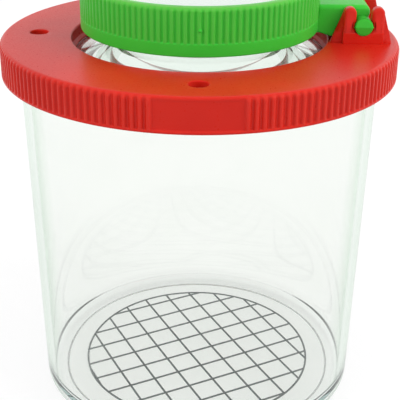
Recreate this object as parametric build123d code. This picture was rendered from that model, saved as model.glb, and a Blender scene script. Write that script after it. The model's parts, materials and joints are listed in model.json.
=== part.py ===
from build123d import *

import os
from math import cos, radians, sin, sqrt, tan

# Bug catcher jar: a clear beaker with a measuring grid under its floor, a knurled push-on lid ring that
# holds one lens, and a knurled cap with a second lens, which flips up on a snap-in hinge.
# Millimetres and degrees. +Z is up, the origin is the centre of the beaker's foot, the hinge is on +X,
# and the lid's blank panel faces -Y.

# Beaker: a drafted tumbler with a foot ring, a rounded base and a rim flange that the lid pushes onto
BEAKER_HEIGHT = 65.65
BASE_RADIUS = 30.1
WALL_DRAFT = 1.25
WALL = 1.4
FLOOR = 2.0
FOOT_RECESS = 0.6
FOOT_RING = 2.1
FOOT_RECESS_ROUND = 0.4
BASE_ROUND = 1.8
FLOOR_ROUND = 1.4
FLANGE_REACH = 0.95
FLANGE_HEIGHT = 2.0

# Measuring grid: thin lines on the underside of the floor, inside one ring
GRID_PITCH = 5.0
GRID_MARGIN = 3.9
GRID_LINE = 0.35
GRID_THICKNESS = 0.15
GRID_TURN = 27.0
GRID_SHIFT_ACROSS = -0.5
GRID_SHIFT_ALONG = -1.9

# Lid ring: a flat ring with a knurled skirt, a throat for the lens and three air holes
LID_PLATE = 1.6
LID_SKIRT = 5.75
LID_SKIRT_WALL = 1.6
LID_EDGE_ROUND = 0.9
LID_FIT = 0.1
LID_LEAD_IN = 0.4
THROAT_CLEARANCE = 0.25
THROAT_EDGE_ROUND = 0.35
THROAT_BEAD_DEPTH = 1.9
THROAT_BEAD_REACH = 0.3
THROAT_BEAD_SLOPE = 0.4
THROAT_BEAD_HEIGHT = 0.3
COLLAR_WALL = 1.5
AIR_HOLES = 3
AIR_HOLE_RADIUS = 1.6
AIR_HOLE_MARGIN = 0.43

# Knurling: upright ribs on the lid's skirt, broken by a blank panel, and on the cap's wall. A rib's crest
# and its foot are shares of the pitch.
RIB_CREST_SHARE = 0.4
RIB_FOOT_SHARE = 0.75
LID_RIBS = 159
LID_PANEL_ANGLE = 24.5
LID_RIB_DEPTH = 0.4
LID_FOOT_BEAD = 0.45
CAP_RIBS = 120
CAP_RIB_DEPTH = 0.35
KNURL_CUT_REACH = 1.0

# Lenses: the lid's lens is flat below and domed above, the cap's lens is domed on both sides
LENS_CURVE = 61.0
LENS_FIT = 0.1
LENS_STEP = 0.8
LID_LENS_RADIUS = 21.9
LID_LENS_EDGE = 2.0
LID_LENS_LEDGE = 1.6
LID_LENS_LEDGE_HEIGHT = 1.2
CAP_LENS_RADIUS = 19.2
CAP_LENS_EDGE = 1.8
CAP_LENS_LEDGE = 1.4
CAP_LENS_LEDGE_HEIGHT = 1.2

# Flip cap: a short open tube over the throat, with a smooth foot band and an arm to the hinge
CAP_RIM_WALL = 1.3
CAP_HEIGHT = 7.8
CAP_GAP = 1.7
CAP_BAND = 2.15
CAP_EDGE_ROUND = 0.7
CAP_BAND_ROUND = 0.25
CAP_WALL = 1.5
CAP_LENS_RECESS = 0.5
CAP_BEAD_REACH = 0.25
CAP_BEAD_HEIGHT = 0.4
ARM_TOP = 6.05
ARM_PLATE = 1.6
ARM_SIDE = 1.2
ARM_WIDTH = 7.6
ARM_END = 1.3
ARM_END_ROUND = 1.2
ARM_LEG = 1.7
ARM_LEG_ROUND = 0.6
ARM_REST_GAP = 0.2
ARM_SIDE_CLEARANCE = 0.3
ARM_ROOT_HEIGHT = 1.2
ARM_FOOT_NEAR = 4.9
ARM_FOOT_FAR = 1.7

# Hinge: a pin across the arm's end that snaps into two open sockets on the lid
HINGE_OFFSET = 5.5
HINGE_HEIGHT = 2.9
PIN_RADIUS = 1.5
PIN_FIT = 0.05
PIN_OVERHANG = 0.35
PIN_END_CHAMFER = 0.4
SOCKET_MOUTH = 2.6
POST_WIDTH = 2.17
POST_HEIGHT = 6.35
POST_DEPTH = 0.8
POST_EDGE_ROUND = 0.3
SADDLE_HEIGHT = 1.9
CHEEK_DEPTH = 1.1
CHEEK_FOOT_IN = 5.45
CHEEK_FOOT_OUT = 4.95
BRACKET_ROOT = 0.5


def outside_radius(height):
    """Outer radius of the beaker's drafted wall at a height."""
    return BASE_RADIUS + height * tan(radians(WALL_DRAFT))


# Heights and radii that follow from the sizes above
FLOOR_TOP = FOOT_RECESS + FLOOR
FOOT_RECESS_RADIUS = BASE_RADIUS - BASE_ROUND - FOOT_RING
GRID_RADIUS = FOOT_RECESS_RADIUS - GRID_MARGIN
MOUTH_RADIUS = outside_radius(BEAKER_HEIGHT) - WALL
FLANGE_BOTTOM = BEAKER_HEIGHT - FLANGE_HEIGHT
FLANGE_RADIUS = outside_radius(FLANGE_BOTTOM) + FLANGE_REACH
SKIRT_BORE = FLANGE_RADIUS + LID_FIT
LID_RADIUS = SKIRT_BORE + LID_SKIRT_WALL + LID_RIB_DEPTH
LID_TOP = BEAKER_HEIGHT + LID_PLATE
AIR_HOLE_CIRCLE = MOUTH_RADIUS - AIR_HOLE_RADIUS - AIR_HOLE_MARGIN
LID_LENS_SEAT_RADIUS = LID_LENS_RADIUS + LENS_FIT
LID_LENS_TOP = LID_TOP - THROAT_BEAD_DEPTH - THROAT_BEAD_SLOPE - THROAT_BEAD_HEIGHT - LENS_FIT
LID_LENS_BOTTOM = LID_LENS_TOP - LID_LENS_EDGE
THROAT_RADIUS = LID_LENS_SEAT_RADIUS + THROAT_CLEARANCE
CAP_BOTTOM = LID_TOP + CAP_GAP
CAP_TOP = CAP_BOTTOM + CAP_HEIGHT
CAP_LENS_TOP = CAP_TOP - CAP_LENS_RECESS
CAP_LENS_BOTTOM = CAP_LENS_TOP - CAP_LENS_EDGE
CAP_BORE_RADIUS = CAP_LENS_RADIUS + LENS_FIT
CAP_RADIUS = CAP_BORE_RADIUS + CAP_RIM_WALL
HINGE_RADIUS = THROAT_RADIUS + HINGE_OFFSET
HINGE_Z = LID_TOP + HINGE_HEIGHT
ARM_HALF_WIDTH = ARM_WIDTH / 2
BRACKET_INNER = ARM_HALF_WIDTH + ARM_SIDE_CLEARANCE
BRACKET_OUTER = BRACKET_INNER + CHEEK_DEPTH + POST_DEPTH
BRACKET_HALF_WIDTH = SOCKET_MOUTH / 2 + POST_WIDTH


def outline(points, rounds=None):
    """Face through the points, with the corners whose numbers are in rounds filleted to those radii."""
    face = Sketch() + make_face(Polyline(*points, close=True))
    for corner, radius in (rounds or {}).items():
        face = fillet(face.vertices().sort_by_distance(points[corner])[0], radius)
    return face


def turned(face):
    """Solid of revolution about Z of a face drawn with x as radius and y as height."""
    return revolve(Plane.XZ * face, Axis.Z)


def polar(radius, angle):
    """Point of the XY plane at a radius and an angle."""
    return radius * cos(radians(angle)), radius * sin(radians(angle))


def knurl(radius, depth, ribs, first_angle, pitch):
    """Face with a toothed edge: ribs of trapezoid section that stand out from the valley circle.

    What the ribs leave free of that circle, a single valley or a blank panel, is one plain arc.
    """
    valley = radius - depth
    crest = RIB_CREST_SHARE * pitch / 2
    foot = RIB_FOOT_SHARE * pitch / 2
    points = []
    for rib in range(ribs):
        middle = first_angle + rib * pitch
        points.append(polar(valley, middle - foot))
        points.append(polar(radius, middle - crest))
        points.append(polar(radius, middle + crest))
        points.append(polar(valley, middle + foot))
    opposite = first_angle + (ribs - 1) * pitch / 2 + 180
    plain = ThreePointArc(points[-1], polar(valley, opposite), points[0])
    return make_face([*Polyline(*points).edges(), plain])


def knurl_cut(radius, teeth, bottom, top):
    """What a knurled wall loses between two heights: the space from the toothed face out past the wall."""
    blank = Circle(radius + KNURL_CUT_REACH) - teeth
    return Pos(0, 0, bottom) * extrude(blank, top - bottom)


def dome(radius, height, side):
    """Arc of a lens surface from the axis to its edge: side is 1 for a dome that rises, -1 for one that drops."""
    def level(r):
        return height + side * (sqrt(LENS_CURVE**2 - r**2) - sqrt(LENS_CURVE**2 - radius**2))

    return ThreePointArc((0, level(0)), (radius / 2, level(radius / 2)), (radius, height))


def make_beaker():
    """Drafted tumbler: foot ring, rounded base, thin wall and a rim flange."""
    inner_bottom = outside_radius(FLOOR_TOP) - WALL
    points = [
        (0, FOOT_RECESS),
        (FOOT_RECESS_RADIUS, FOOT_RECESS),
        (FOOT_RECESS_RADIUS, 0),
        (outside_radius(0), 0),
        (outside_radius(FLANGE_BOTTOM), FLANGE_BOTTOM),
        (FLANGE_RADIUS, FLANGE_BOTTOM),
        (FLANGE_RADIUS, BEAKER_HEIGHT),
        (MOUTH_RADIUS, BEAKER_HEIGHT),
        (inner_bottom, FLOOR_TOP),
        (0, FLOOR_TOP),
    ]
    rounds = {1: FOOT_RECESS_ROUND, 3: BASE_ROUND, len(points) - 2: FLOOR_ROUND}
    return turned(outline(points, rounds))


def make_measuring_grid():
    """Crossed lines at the grid's pitch, trimmed to a disc and tied together by its ring."""
    lines = Sketch()
    reach = int(GRID_RADIUS / GRID_PITCH) + 1
    for step in range(-reach, reach + 1):
        across = step * GRID_PITCH + GRID_SHIFT_ACROSS
        along = step * GRID_PITCH + GRID_SHIFT_ALONG
        lines += Pos(0, across) * Rectangle(2 * GRID_RADIUS, GRID_LINE)
        lines += Pos(along, 0) * Rectangle(GRID_LINE, 2 * GRID_RADIUS)
    ring = Circle(GRID_RADIUS) - Circle(GRID_RADIUS - GRID_LINE)
    net = lines & Circle(GRID_RADIUS - GRID_LINE / 2)
    flat = Rot(0, 0, GRID_TURN) * (net + ring)
    return Pos(0, 0, FOOT_RECESS - GRID_THICKNESS) * extrude(flat, GRID_THICKNESS)


def lid_ring_profile():
    """Half section of the lid ring: skirt, plate, throat with its snap bead, lens seat and collar."""
    skirt_bottom = LID_TOP - LID_SKIRT
    bead_radius = LID_LENS_SEAT_RADIUS - THROAT_BEAD_REACH
    bead_start = LID_TOP - THROAT_BEAD_DEPTH
    bead_top = bead_start - THROAT_BEAD_SLOPE
    bead_bottom = bead_top - THROAT_BEAD_HEIGHT
    ledge_radius = LID_LENS_SEAT_RADIUS - LID_LENS_LEDGE
    collar_bottom = LID_LENS_BOTTOM - LID_LENS_LEDGE_HEIGHT
    collar_radius = LID_LENS_SEAT_RADIUS + COLLAR_WALL
    points = [
        (LID_RADIUS, skirt_bottom),
        (LID_RADIUS, LID_TOP),
        (THROAT_RADIUS, LID_TOP),
        (THROAT_RADIUS, bead_start),
        (bead_radius, bead_top),
        (bead_radius, bead_bottom),
        (LID_LENS_SEAT_RADIUS, bead_bottom),
        (LID_LENS_SEAT_RADIUS, LID_LENS_BOTTOM),
        (ledge_radius, LID_LENS_BOTTOM),
        (ledge_radius, collar_bottom),
        (collar_radius, collar_bottom),
        (collar_radius, BEAKER_HEIGHT),
        (SKIRT_BORE, BEAKER_HEIGHT),
        (SKIRT_BORE, skirt_bottom + LID_LEAD_IN),
        (SKIRT_BORE + LID_LEAD_IN, skirt_bottom),
    ]
    return outline(points, {1: LID_EDGE_ROUND, 2: THROAT_EDGE_ROUND})


def socket():
    """Keyhole that a bracket leaves for the pin: a round seat with a narrower mouth above it."""
    seat = Pos(HINGE_RADIUS, HINGE_HEIGHT) * Circle(PIN_RADIUS + PIN_FIT)
    mouth = Pos(HINGE_RADIUS, HINGE_HEIGHT + POST_HEIGHT / 2) * Rectangle(SOCKET_MOUTH, POST_HEIGHT)
    return seat + mouth


def make_bracket():
    """Hinge bracket on the -Y side: a cheek with sloping flanks behind two round-topped posts and a saddle."""
    posts = Sketch()
    post_offset = (SOCKET_MOUTH + POST_WIDTH) / 2
    straight = POST_HEIGHT - POST_WIDTH / 2
    for side in (-1, 1):
        foot = Pos(HINGE_RADIUS + side * post_offset, (straight - BRACKET_ROOT) / 2)
        posts += foot * Rectangle(POST_WIDTH, straight + BRACKET_ROOT)
        posts += Pos(HINGE_RADIUS + side * post_offset, straight) * Circle(POST_WIDTH / 2)
    cheek = outline(
        [
            (HINGE_RADIUS - CHEEK_FOOT_IN, -BRACKET_ROOT),
            (HINGE_RADIUS - CHEEK_FOOT_IN, 0),
            (HINGE_RADIUS - BRACKET_HALF_WIDTH, straight),
            (HINGE_RADIUS + BRACKET_HALF_WIDTH, straight),
            (HINGE_RADIUS + CHEEK_FOOT_OUT, 0),
            (HINGE_RADIUS + CHEEK_FOOT_OUT, -BRACKET_ROOT),
        ]
    )
    saddle_tall = SADDLE_HEIGHT + BRACKET_ROOT
    saddle_place = Pos(HINGE_RADIUS, SADDLE_HEIGHT - saddle_tall / 2)
    saddle = saddle_place * Rectangle(2 * BRACKET_HALF_WIDTH, saddle_tall)
    inner_face = Plane((0, -BRACKET_INNER, LID_TOP), x_dir=(1, 0, 0), z_dir=(0, -1, 0))
    post_face = inner_face.offset(CHEEK_DEPTH)
    front = extrude(post_face * posts, POST_DEPTH)
    front_arcs = front.edges().filter_by(GeomType.CIRCLE).group_by(Axis.Y)[0]
    front = fillet(front_arcs, POST_EDGE_ROUND) + extrude(post_face * saddle, POST_DEPTH)
    back = extrude(inner_face * (cheek + posts), CHEEK_DEPTH)
    return back + front - extrude(inner_face * socket(), CHEEK_DEPTH + POST_DEPTH)


def make_lid_ring():
    """Turned ring, knurled around the skirt except at the blank panel, drilled for air, with two brackets."""
    pitch = (360 - LID_PANEL_ANGLE) / (LID_RIBS - 1)
    first_rib = -90 + LID_PANEL_ANGLE / 2
    teeth = knurl(LID_RADIUS, LID_RIB_DEPTH, LID_RIBS, first_rib, pitch)
    rib_bottom = LID_TOP - LID_SKIRT + LID_FOOT_BEAD
    ring = turned(lid_ring_profile()) - knurl_cut(LID_RADIUS, teeth, rib_bottom, LID_TOP + KNURL_CUT_REACH)
    quarter = 360 / (AIR_HOLES + 1)
    for hole in range(AIR_HOLES):
        x, y = polar(AIR_HOLE_CIRCLE, (hole + 1) * quarter)
        ring -= Pos(x, y, LID_TOP - LID_PLATE / 2) * Cylinder(AIR_HOLE_RADIUS, 2 * LID_PLATE)
    bracket = make_bracket()
    return ring + bracket + mirror(bracket, Plane.XZ)


def make_lid_lens():
    """Lens of the lid: a flat base, a plain rim and a dome that starts one step inside the rim."""
    dome_radius = LID_LENS_RADIUS - LENS_STEP
    curve = dome(dome_radius, LID_LENS_TOP, 1)
    sides = Polyline(
        (dome_radius, LID_LENS_TOP),
        (LID_LENS_RADIUS, LID_LENS_TOP),
        (LID_LENS_RADIUS, LID_LENS_BOTTOM),
        (0, LID_LENS_BOTTOM),
        curve @ 0,
    )
    return turned(make_face([curve, *sides.edges()]))


def make_flip_lens():
    """Lens of the cap: a plain rim with a dome above, and a dome below that clears the ledge."""
    upper_radius = CAP_LENS_RADIUS - LENS_STEP
    lower_radius = CAP_LENS_RADIUS - CAP_LENS_LEDGE - LENS_FIT
    upper = dome(upper_radius, CAP_LENS_TOP, 1)
    lower = dome(lower_radius, CAP_LENS_BOTTOM, -1)
    rim = Polyline(
        (upper_radius, CAP_LENS_TOP),
        (CAP_LENS_RADIUS, CAP_LENS_TOP),
        (CAP_LENS_RADIUS, CAP_LENS_BOTTOM),
        (lower_radius, CAP_LENS_BOTTOM),
    )
    axis = Line(lower @ 0, upper @ 0)
    return turned(make_face([upper, *rim.edges(), lower, axis]))


def cap_tube():
    """Turned wall of the cap: foot band, lens ledge, seat, and a small bead that keeps the lens in."""
    ledge_radius = CAP_BORE_RADIUS - CAP_LENS_LEDGE
    ledge_bottom = CAP_LENS_BOTTOM - CAP_LENS_LEDGE_HEIGHT
    foot_bore = CAP_RADIUS - CAP_WALL
    bead_radius = CAP_BORE_RADIUS - CAP_BEAD_REACH
    bead_bottom = CAP_TOP - CAP_BEAD_HEIGHT
    points = [
        (CAP_RADIUS, CAP_BOTTOM),
        (CAP_RADIUS, CAP_TOP),
        (bead_radius, CAP_TOP),
        (bead_radius, bead_bottom),
        (CAP_BORE_RADIUS, bead_bottom),
        (CAP_BORE_RADIUS, CAP_LENS_BOTTOM),
        (ledge_radius, CAP_LENS_BOTTOM),
        (ledge_radius, ledge_bottom),
        (foot_bore, ledge_bottom),
        (foot_bore, CAP_BOTTOM),
    ]
    return turned(outline(points, {0: CAP_BAND_ROUND, 1: CAP_EDGE_ROUND}))


def make_arm():
    """Arm from the cap's wall to the hinge: a plate with two side walls, and a leg down to the pin."""
    root = CAP_RADIUS - CAP_WALL / 2
    end = HINGE_RADIUS + ARM_END
    under = ARM_TOP - ARM_PLATE
    leg_in = HINGE_RADIUS - ARM_LEG / 2
    leg_out = HINGE_RADIUS + ARM_LEG / 2
    plate = outline(
        [
            (root, ARM_TOP),
            (end, ARM_TOP),
            (end, under),
            (leg_out, under),
            (leg_out, HINGE_HEIGHT),
            (leg_in, HINGE_HEIGHT),
            (leg_in, under),
            (root, under),
        ],
        {1: ARM_END_ROUND, 6: ARM_LEG_ROUND},
    )
    foot_start = HINGE_RADIUS - ARM_FOOT_NEAR
    foot_end = HINGE_RADIUS - ARM_FOOT_FAR
    side = outline(
        [
            (root, under + ARM_PLATE / 2),
            (leg_in, under + ARM_PLATE / 2),
            (leg_in, HINGE_HEIGHT),
            (foot_end, ARM_REST_GAP),
            (foot_start, ARM_REST_GAP),
            (root + CAP_WALL / 2, ARM_ROOT_HEIGHT),
            (root, ARM_ROOT_HEIGHT),
        ]
    )
    far_face = Plane((0, ARM_HALF_WIDTH, LID_TOP), x_dir=(1, 0, 0), z_dir=(0, -1, 0))
    bar = extrude(far_face * plate, ARM_WIDTH)
    wall = extrude(far_face * side, ARM_SIDE)
    pin_length = 2 * (BRACKET_OUTER + PIN_OVERHANG)
    pin = Cylinder(PIN_RADIUS, pin_length)
    pin = chamfer(pin.edges().filter_by(GeomType.CIRCLE), PIN_END_CHAMFER)
    pin = Pos(HINGE_RADIUS, 0, HINGE_Z) * Rot(90, 0, 0) * pin
    return bar + wall + mirror(wall, Plane.XZ) + pin


def make_flip_cap():
    """Knurled cap tube with its arm; the arm hides the ribs behind it."""
    pitch = 360 / CAP_RIBS
    teeth = knurl(CAP_RADIUS, CAP_RIB_DEPTH, CAP_RIBS, 0, pitch)
    tube = cap_tube() - knurl_cut(CAP_RADIUS, teeth, CAP_BOTTOM + CAP_BAND, CAP_TOP - CAP_EDGE_ROUND)
    return tube + make_arm()


PIECES = {
    "beaker": make_beaker,
    "measuring_grid": make_measuring_grid,
    "lid_ring": make_lid_ring,
    "lid_lens": make_lid_lens,
    "flip_cap": make_flip_cap,
    "flip_lens": make_flip_lens,
}

os.makedirs("parts", exist_ok=True)
for name, make in PIECES.items():
    piece = make()
    export_step(piece, f"parts/{name}.step")
    print(name, len(piece.solids()), round(piece.volume, 1), piece.bounding_box().size)
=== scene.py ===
# %% [markdown]
# # A bug catcher jar
# The jar is a clear tumbler with a grid printed under its floor, a red lid ring that holds a lens, and a
# green cap with a second lens, which flips up on a snap-in hinge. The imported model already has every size
# and every moving body. This lesson keeps those sizes and makes the surfaces that the eye meets: rounded
# moulded edges, fine knurling, clear plastic and printed ink.

import json

import bmesh
import bpy
import numpy as np
from mathutils import Matrix, Vector


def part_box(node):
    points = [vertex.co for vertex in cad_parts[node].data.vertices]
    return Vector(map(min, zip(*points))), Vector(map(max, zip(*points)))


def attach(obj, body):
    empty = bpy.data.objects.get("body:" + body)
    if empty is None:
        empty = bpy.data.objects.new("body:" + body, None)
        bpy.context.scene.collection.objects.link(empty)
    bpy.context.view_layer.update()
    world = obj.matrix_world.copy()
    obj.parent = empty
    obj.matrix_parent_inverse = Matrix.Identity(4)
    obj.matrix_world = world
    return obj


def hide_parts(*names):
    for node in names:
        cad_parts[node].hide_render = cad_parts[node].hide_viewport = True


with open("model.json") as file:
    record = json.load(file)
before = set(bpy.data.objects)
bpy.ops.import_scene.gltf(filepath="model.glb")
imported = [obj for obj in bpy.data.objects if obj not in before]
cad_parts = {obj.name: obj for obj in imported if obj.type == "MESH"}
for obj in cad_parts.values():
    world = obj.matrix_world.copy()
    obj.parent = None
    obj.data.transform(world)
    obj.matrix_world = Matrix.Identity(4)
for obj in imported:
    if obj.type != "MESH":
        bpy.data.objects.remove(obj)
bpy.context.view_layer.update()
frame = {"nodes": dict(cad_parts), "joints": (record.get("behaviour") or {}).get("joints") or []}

# %% [markdown]
# ## Sizes
# A maker's drawing is in millimetres, so the shapes here are too, and one factor turns them into Blender's
# metres at the end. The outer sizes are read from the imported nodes, so a new pack moves the looks with it.
# The inner ones are written down where each piece first needs them.

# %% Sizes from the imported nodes
MM = 0.001


def box_mm(node):
    """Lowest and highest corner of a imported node, in millimetres."""
    low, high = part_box(node)
    return np.array(low) / MM, np.array(high) / MM


_, beaker_high = box_mm("beaker")
ring_low, ring_high = box_mm("lid_ring")
lid_lens_low, lid_lens_high = box_mm("lid_lens")
_, cap_high = box_mm("flip_cap")
_, cap_lens_high = box_mm("flip_lens")
grid_low, grid_high = box_mm("measuring_grid")
flip_joint = next(joint for joint in frame["joints"] if joint["name"] == "lens_flip")
hinge_x, hinge_y, hinge_z = np.array(flip_joint["pos_m"]) / MM

RIM_TOP = beaker_high[2]
RIM_RADIUS = beaker_high[0]
LID_PLATE = 1.6
LID_RADIUS = ring_high[1]
LID_TOP = RIM_TOP + LID_PLATE
CAP_TOP = cap_high[2]
CAP_RADIUS = cap_high[1]
print("lid", LID_RADIUS, "cap", CAP_RADIUS, "hinge", hinge_x, hinge_z)

# %% [markdown]
# ## Tools for shapes
# Nearly everything on this jar was moulded in a round or a straight tool, so two ideas are enough. A closed
# outline is drawn once from its corners, each with its own round, and is then either turned about the jar's
# axis or carried along a straight path. A modifier could round the edges instead, but here the rounds are
# part of the outline, so the numbers say exactly what a mould's drawing would say.

# %% Outlines with rounded corners
SHARP = 0.04


def unit(vectors):
    """Vectors scaled to length one."""
    return vectors / np.linalg.norm(vectors, axis=-1, keepdims=True)


def arcs_at(corners, steps=6):
    """Arcs that round the corners (across, up, radius) of a closed outline, as corners x steps x 2 points.

    With h half the angle between a corner's two sides, the arc's centre lies radius / sin h along their
    middle, and its points swing from one touching point to the other by spherical interpolation.
    """
    table = np.asarray(corners, float)
    point = table[:, :2]
    radius = np.maximum(table[:, 2:], SHARP)
    back = unit(np.roll(point, 1, axis=0) - point)
    ahead = unit(np.roll(point, -1, axis=0) - point)
    half = np.arccos(np.clip((back * ahead).sum(1, keepdims=True), -1, 1)) / 2
    centre = point + unit(back + ahead) * radius / np.sin(half)
    start = point + back * radius / np.tan(half) - centre
    stop = point + ahead * radius / np.tan(half) - centre
    sweep = np.pi - 2 * half
    share = np.linspace(0, 1, steps)
    from_start = (np.sin(sweep * (1 - share)) / np.sin(sweep))[..., None]
    from_stop = (np.sin(sweep * share) / np.sin(sweep))[..., None]
    return centre[:, None] + from_start * start[:, None] + from_stop * stop[:, None]


square = [(0, 0, 2), (9, 0, 2), (9, 9, 2), (0, 9, 2)]
print("first corner of a rounded square:", arcs_at(square, steps=3)[0].round(2).tolist())


# %% Turning a profile and joining grid points by faces
def turn(profile, angles, inset=0.0):
    """Surface of revolution about Z: (radius, height) goes to (radius cos a, radius sin a, height).

    The inset, one value for each profile point and angle, is taken off the radius first.
    """
    radius = profile[:, :1] - inset
    across = radius * np.cos(angles)
    along = radius * np.sin(angles)
    height = np.broadcast_to(profile[:, 1:], across.shape)
    return np.stack([across, along, height], axis=-1)


def grid_faces(rows, columns, first=0, close_rows=False):
    """Quads of a grid of points that is closed across its columns; its points are numbered from first."""
    number = first + np.arange(rows * columns).reshape(rows, columns)
    if close_rows:
        number = np.vstack([number, number[:1]])
    number = np.hstack([number, number[:, :1]])
    corners = number[:-1, :-1], number[:-1, 1:], number[1:, 1:], number[1:, :-1]
    return np.stack(corners, axis=-1).reshape(-1, 4)


def turned_sheet(profile, columns):
    """Sheet of points and faces for a profile that starts and ends on the axis."""
    angles = np.linspace(0, 2 * np.pi, columns, endpoint=False)
    return turn(profile, angles).reshape(-1, 3), [grid_faces(len(profile), columns)]


print("faces of a ring with 3 rows and 8 columns:", len(grid_faces(3, 8)))

# %% From sheets to a piece that rides on a body
SEAM = 2e-8


def make_piece(name, sheets, finish, body, slot, *nodes, highlight_share=()):
    """Joins sheets into one mesh in metres, closes seams and poles, turns faces outwards and mounts it.

    The share holds a painted highlight, a paler colour, for the first points, from 0 to 1, and the rest have
    none.
    """
    starts = np.cumsum([0] + [len(points) for points, _ in sheets])
    corners = np.vstack([points for points, _ in sheets]) * MM
    faces = []
    for start, (_, groups) in zip(starts, sheets):
        for group in groups:
            faces += (np.asarray(group) + start).tolist()
    mesh = bpy.data.meshes.new(name)
    mesh.from_pydata(corners.tolist(), [], faces)
    point_highlight = np.zeros(len(corners), np.float32)
    point_highlight[: len(highlight_share)] = highlight_share
    mesh.attributes.new("highlight_share", "FLOAT", "POINT").data.foreach_set("value", point_highlight)
    work = bmesh.new()
    work.from_mesh(mesh)
    bmesh.ops.remove_doubles(work, verts=work.verts, dist=SEAM)
    bmesh.ops.recalc_face_normals(work, faces=work.faces)
    work.to_mesh(mesh)
    work.free()
    mesh.polygons.foreach_set("use_smooth", np.ones(len(mesh.polygons), bool))
    mesh.materials.append(finish)
    piece = bpy.data.objects.new(name, mesh)
    bpy.context.scene.collection.objects.link(piece)
    piece.modifiers.new("even_shading", "WEIGHTED_NORMAL")
    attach(piece, body)
    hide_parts(*nodes)
    print(name, len(mesh.vertices), "points", len(mesh.polygons), "faces")
    return piece


print("seams closer than", SEAM / MM, "mm are closed")

# %% [markdown]
# ## Finishes
# Both coloured mouldings are the same kind of plastic in two colours, so one node group gives them what they
# share: a slow drift of the pigment, a fine spark-eroded grain, a few handling scuffs, and a painted highlight
# that pales rib crests and rounded edges. A flat colour would look like paint. Where the painted highlight lies
# is a value that each piece keeps at its own points, 1 on a crest or an edge and 0 in a groove, so it follows
# the shape from every side. The clear pieces share a second group, with faint drawn streaks and finger haze.

# %% Small helpers for node trees
def add_node(tree, kind, **inputs):
    """New node; inputs are named for their sockets, with _ for a space."""
    node = tree.nodes.new(kind)
    for name, value in inputs.items():
        node.inputs[name.replace("_", " ")].default_value = value
    return node


def feed(tree, source, socket):
    """Links a socket to an input, or sets the input where the source is a plain number or colour."""
    if isinstance(source, bpy.types.NodeSocket):
        tree.links.new(source, socket)
    else:
        socket.default_value = source


MIX_FACTOR, MIX_FIRST, MIX_SECOND, MIX_RESULT = 0, 6, 7, 2


def mix_colours(tree, factor, first, second):
    """Colour mix node; each colour is a socket or a plain colour. Returns its colour output."""
    node = tree.nodes.new("ShaderNodeMix")
    node.data_type = "RGBA"
    for index, source in ((MIX_FACTOR, factor), (MIX_FIRST, first), (MIX_SECOND, second)):
        feed(tree, source, node.inputs[index])
    return node.outputs[MIX_RESULT]


def spread(tree, value, low, high, to_low=0.0, to_high=1.0):
    """Map Range node from low..high to to_low..to_high, clamped; returns its output."""
    node = add_node(tree, "ShaderNodeMapRange", From_Min=low, From_Max=high, To_Min=to_low, To_Max=to_high)
    tree.links.new(value, node.inputs["Value"])
    return node.outputs["Result"]


def new_group(name, inputs, outputs):
    """Shader node group with named sockets; returns its tree, its input node and its output node."""
    tree = bpy.data.node_groups.new(name, "ShaderNodeTree")
    for label, kind in inputs:
        tree.interface.new_socket(label, in_out="INPUT", socket_type=kind)
    for label, kind in outputs:
        tree.interface.new_socket(label, in_out="OUTPUT", socket_type=kind)
    return tree, tree.nodes.new("NodeGroupInput"), tree.nodes.new("NodeGroupOutput")


def noise(tree, vector, scale, detail, roughness=0.5):
    """Noise texture on a vector; scale is a socket or a number. Returns its value output."""
    node = add_node(tree, "ShaderNodeTexNoise", Detail=detail, Roughness=roughness)
    tree.links.new(vector, node.inputs["Vector"])
    feed(tree, scale, node.inputs["Scale"])
    return node.outputs["Fac"]


COLOUR = "NodeSocketColor"
VALUE = "NodeSocketFloat"
print("sockets of the shared groups:", COLOUR, VALUE)

# %% Shared group: the skin of a coloured moulding
SCUFF_SCALE = 260.0
SCUFF_SPAN = 0.70, 0.80
SCUFF_MOST = 0.4
DRIFT_SPAN = 0.38, 0.66
GRAIN_SPAN = 0.3, 0.7
SKIN_ROUGHNESS = 0.27, 0.40

skin, skin_in, skin_out = new_group(
    "moulded_skin",
    [
        ("Pigment", COLOUR), ("Deep Pigment", COLOUR), ("Scuff", COLOUR),
        ("Edge Wear", VALUE), ("Drift Scale", VALUE), ("Grain Scale", VALUE),
    ],
    [("Colour", COLOUR), ("Roughness", VALUE), ("Height", VALUE)],
)
place = skin.nodes.new("ShaderNodeTexCoord").outputs["Object"]
drift = spread(skin, noise(skin, place, skin_in.outputs["Drift Scale"], 3.0), *DRIFT_SPAN)
grain = noise(skin, place, skin_in.outputs["Grain Scale"], 2.0)
scuffs = spread(skin, noise(skin, place, SCUFF_SCALE, 5.0, 0.75), *SCUFF_SPAN, 0.0, SCUFF_MOST)
pigment = mix_colours(skin, drift, skin_in.outputs["Pigment"], skin_in.outputs["Deep Pigment"])
# Painted highlight: a value kept at each piece's points, 1 on rib crests and rounded edges, pales the colour
# there towards the scuff colour
highlight_reader = skin.nodes.new("ShaderNodeAttribute")
highlight_reader.attribute_name = "highlight_share"
highlight_share = spread(skin, highlight_reader.outputs["Fac"], 0.0, 1.0)
skin.links.new(skin_in.outputs["Edge Wear"], highlight_share.node.inputs["To Max"])
scuffed = mix_colours(skin, scuffs, pigment, skin_in.outputs["Scuff"])
highlighted = mix_colours(skin, highlight_share, scuffed, skin_in.outputs["Scuff"])
skin.links.new(highlighted, skin_out.inputs["Colour"])
skin.links.new(spread(skin, grain, *GRAIN_SPAN, *SKIN_ROUGHNESS), skin_out.inputs["Roughness"])
skin.links.new(grain, skin_out.inputs["Height"])
print("moulded skin:", len(skin.nodes), "nodes")

# %% Shared group: clear plastic that has been handled
STREAK_DRAW = 0.12
SMEAR_SCALE = 70.0
SMEAR_SPAN = 0.50, 0.75
SMEAR_ROUGHNESS = 0.05

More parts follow.
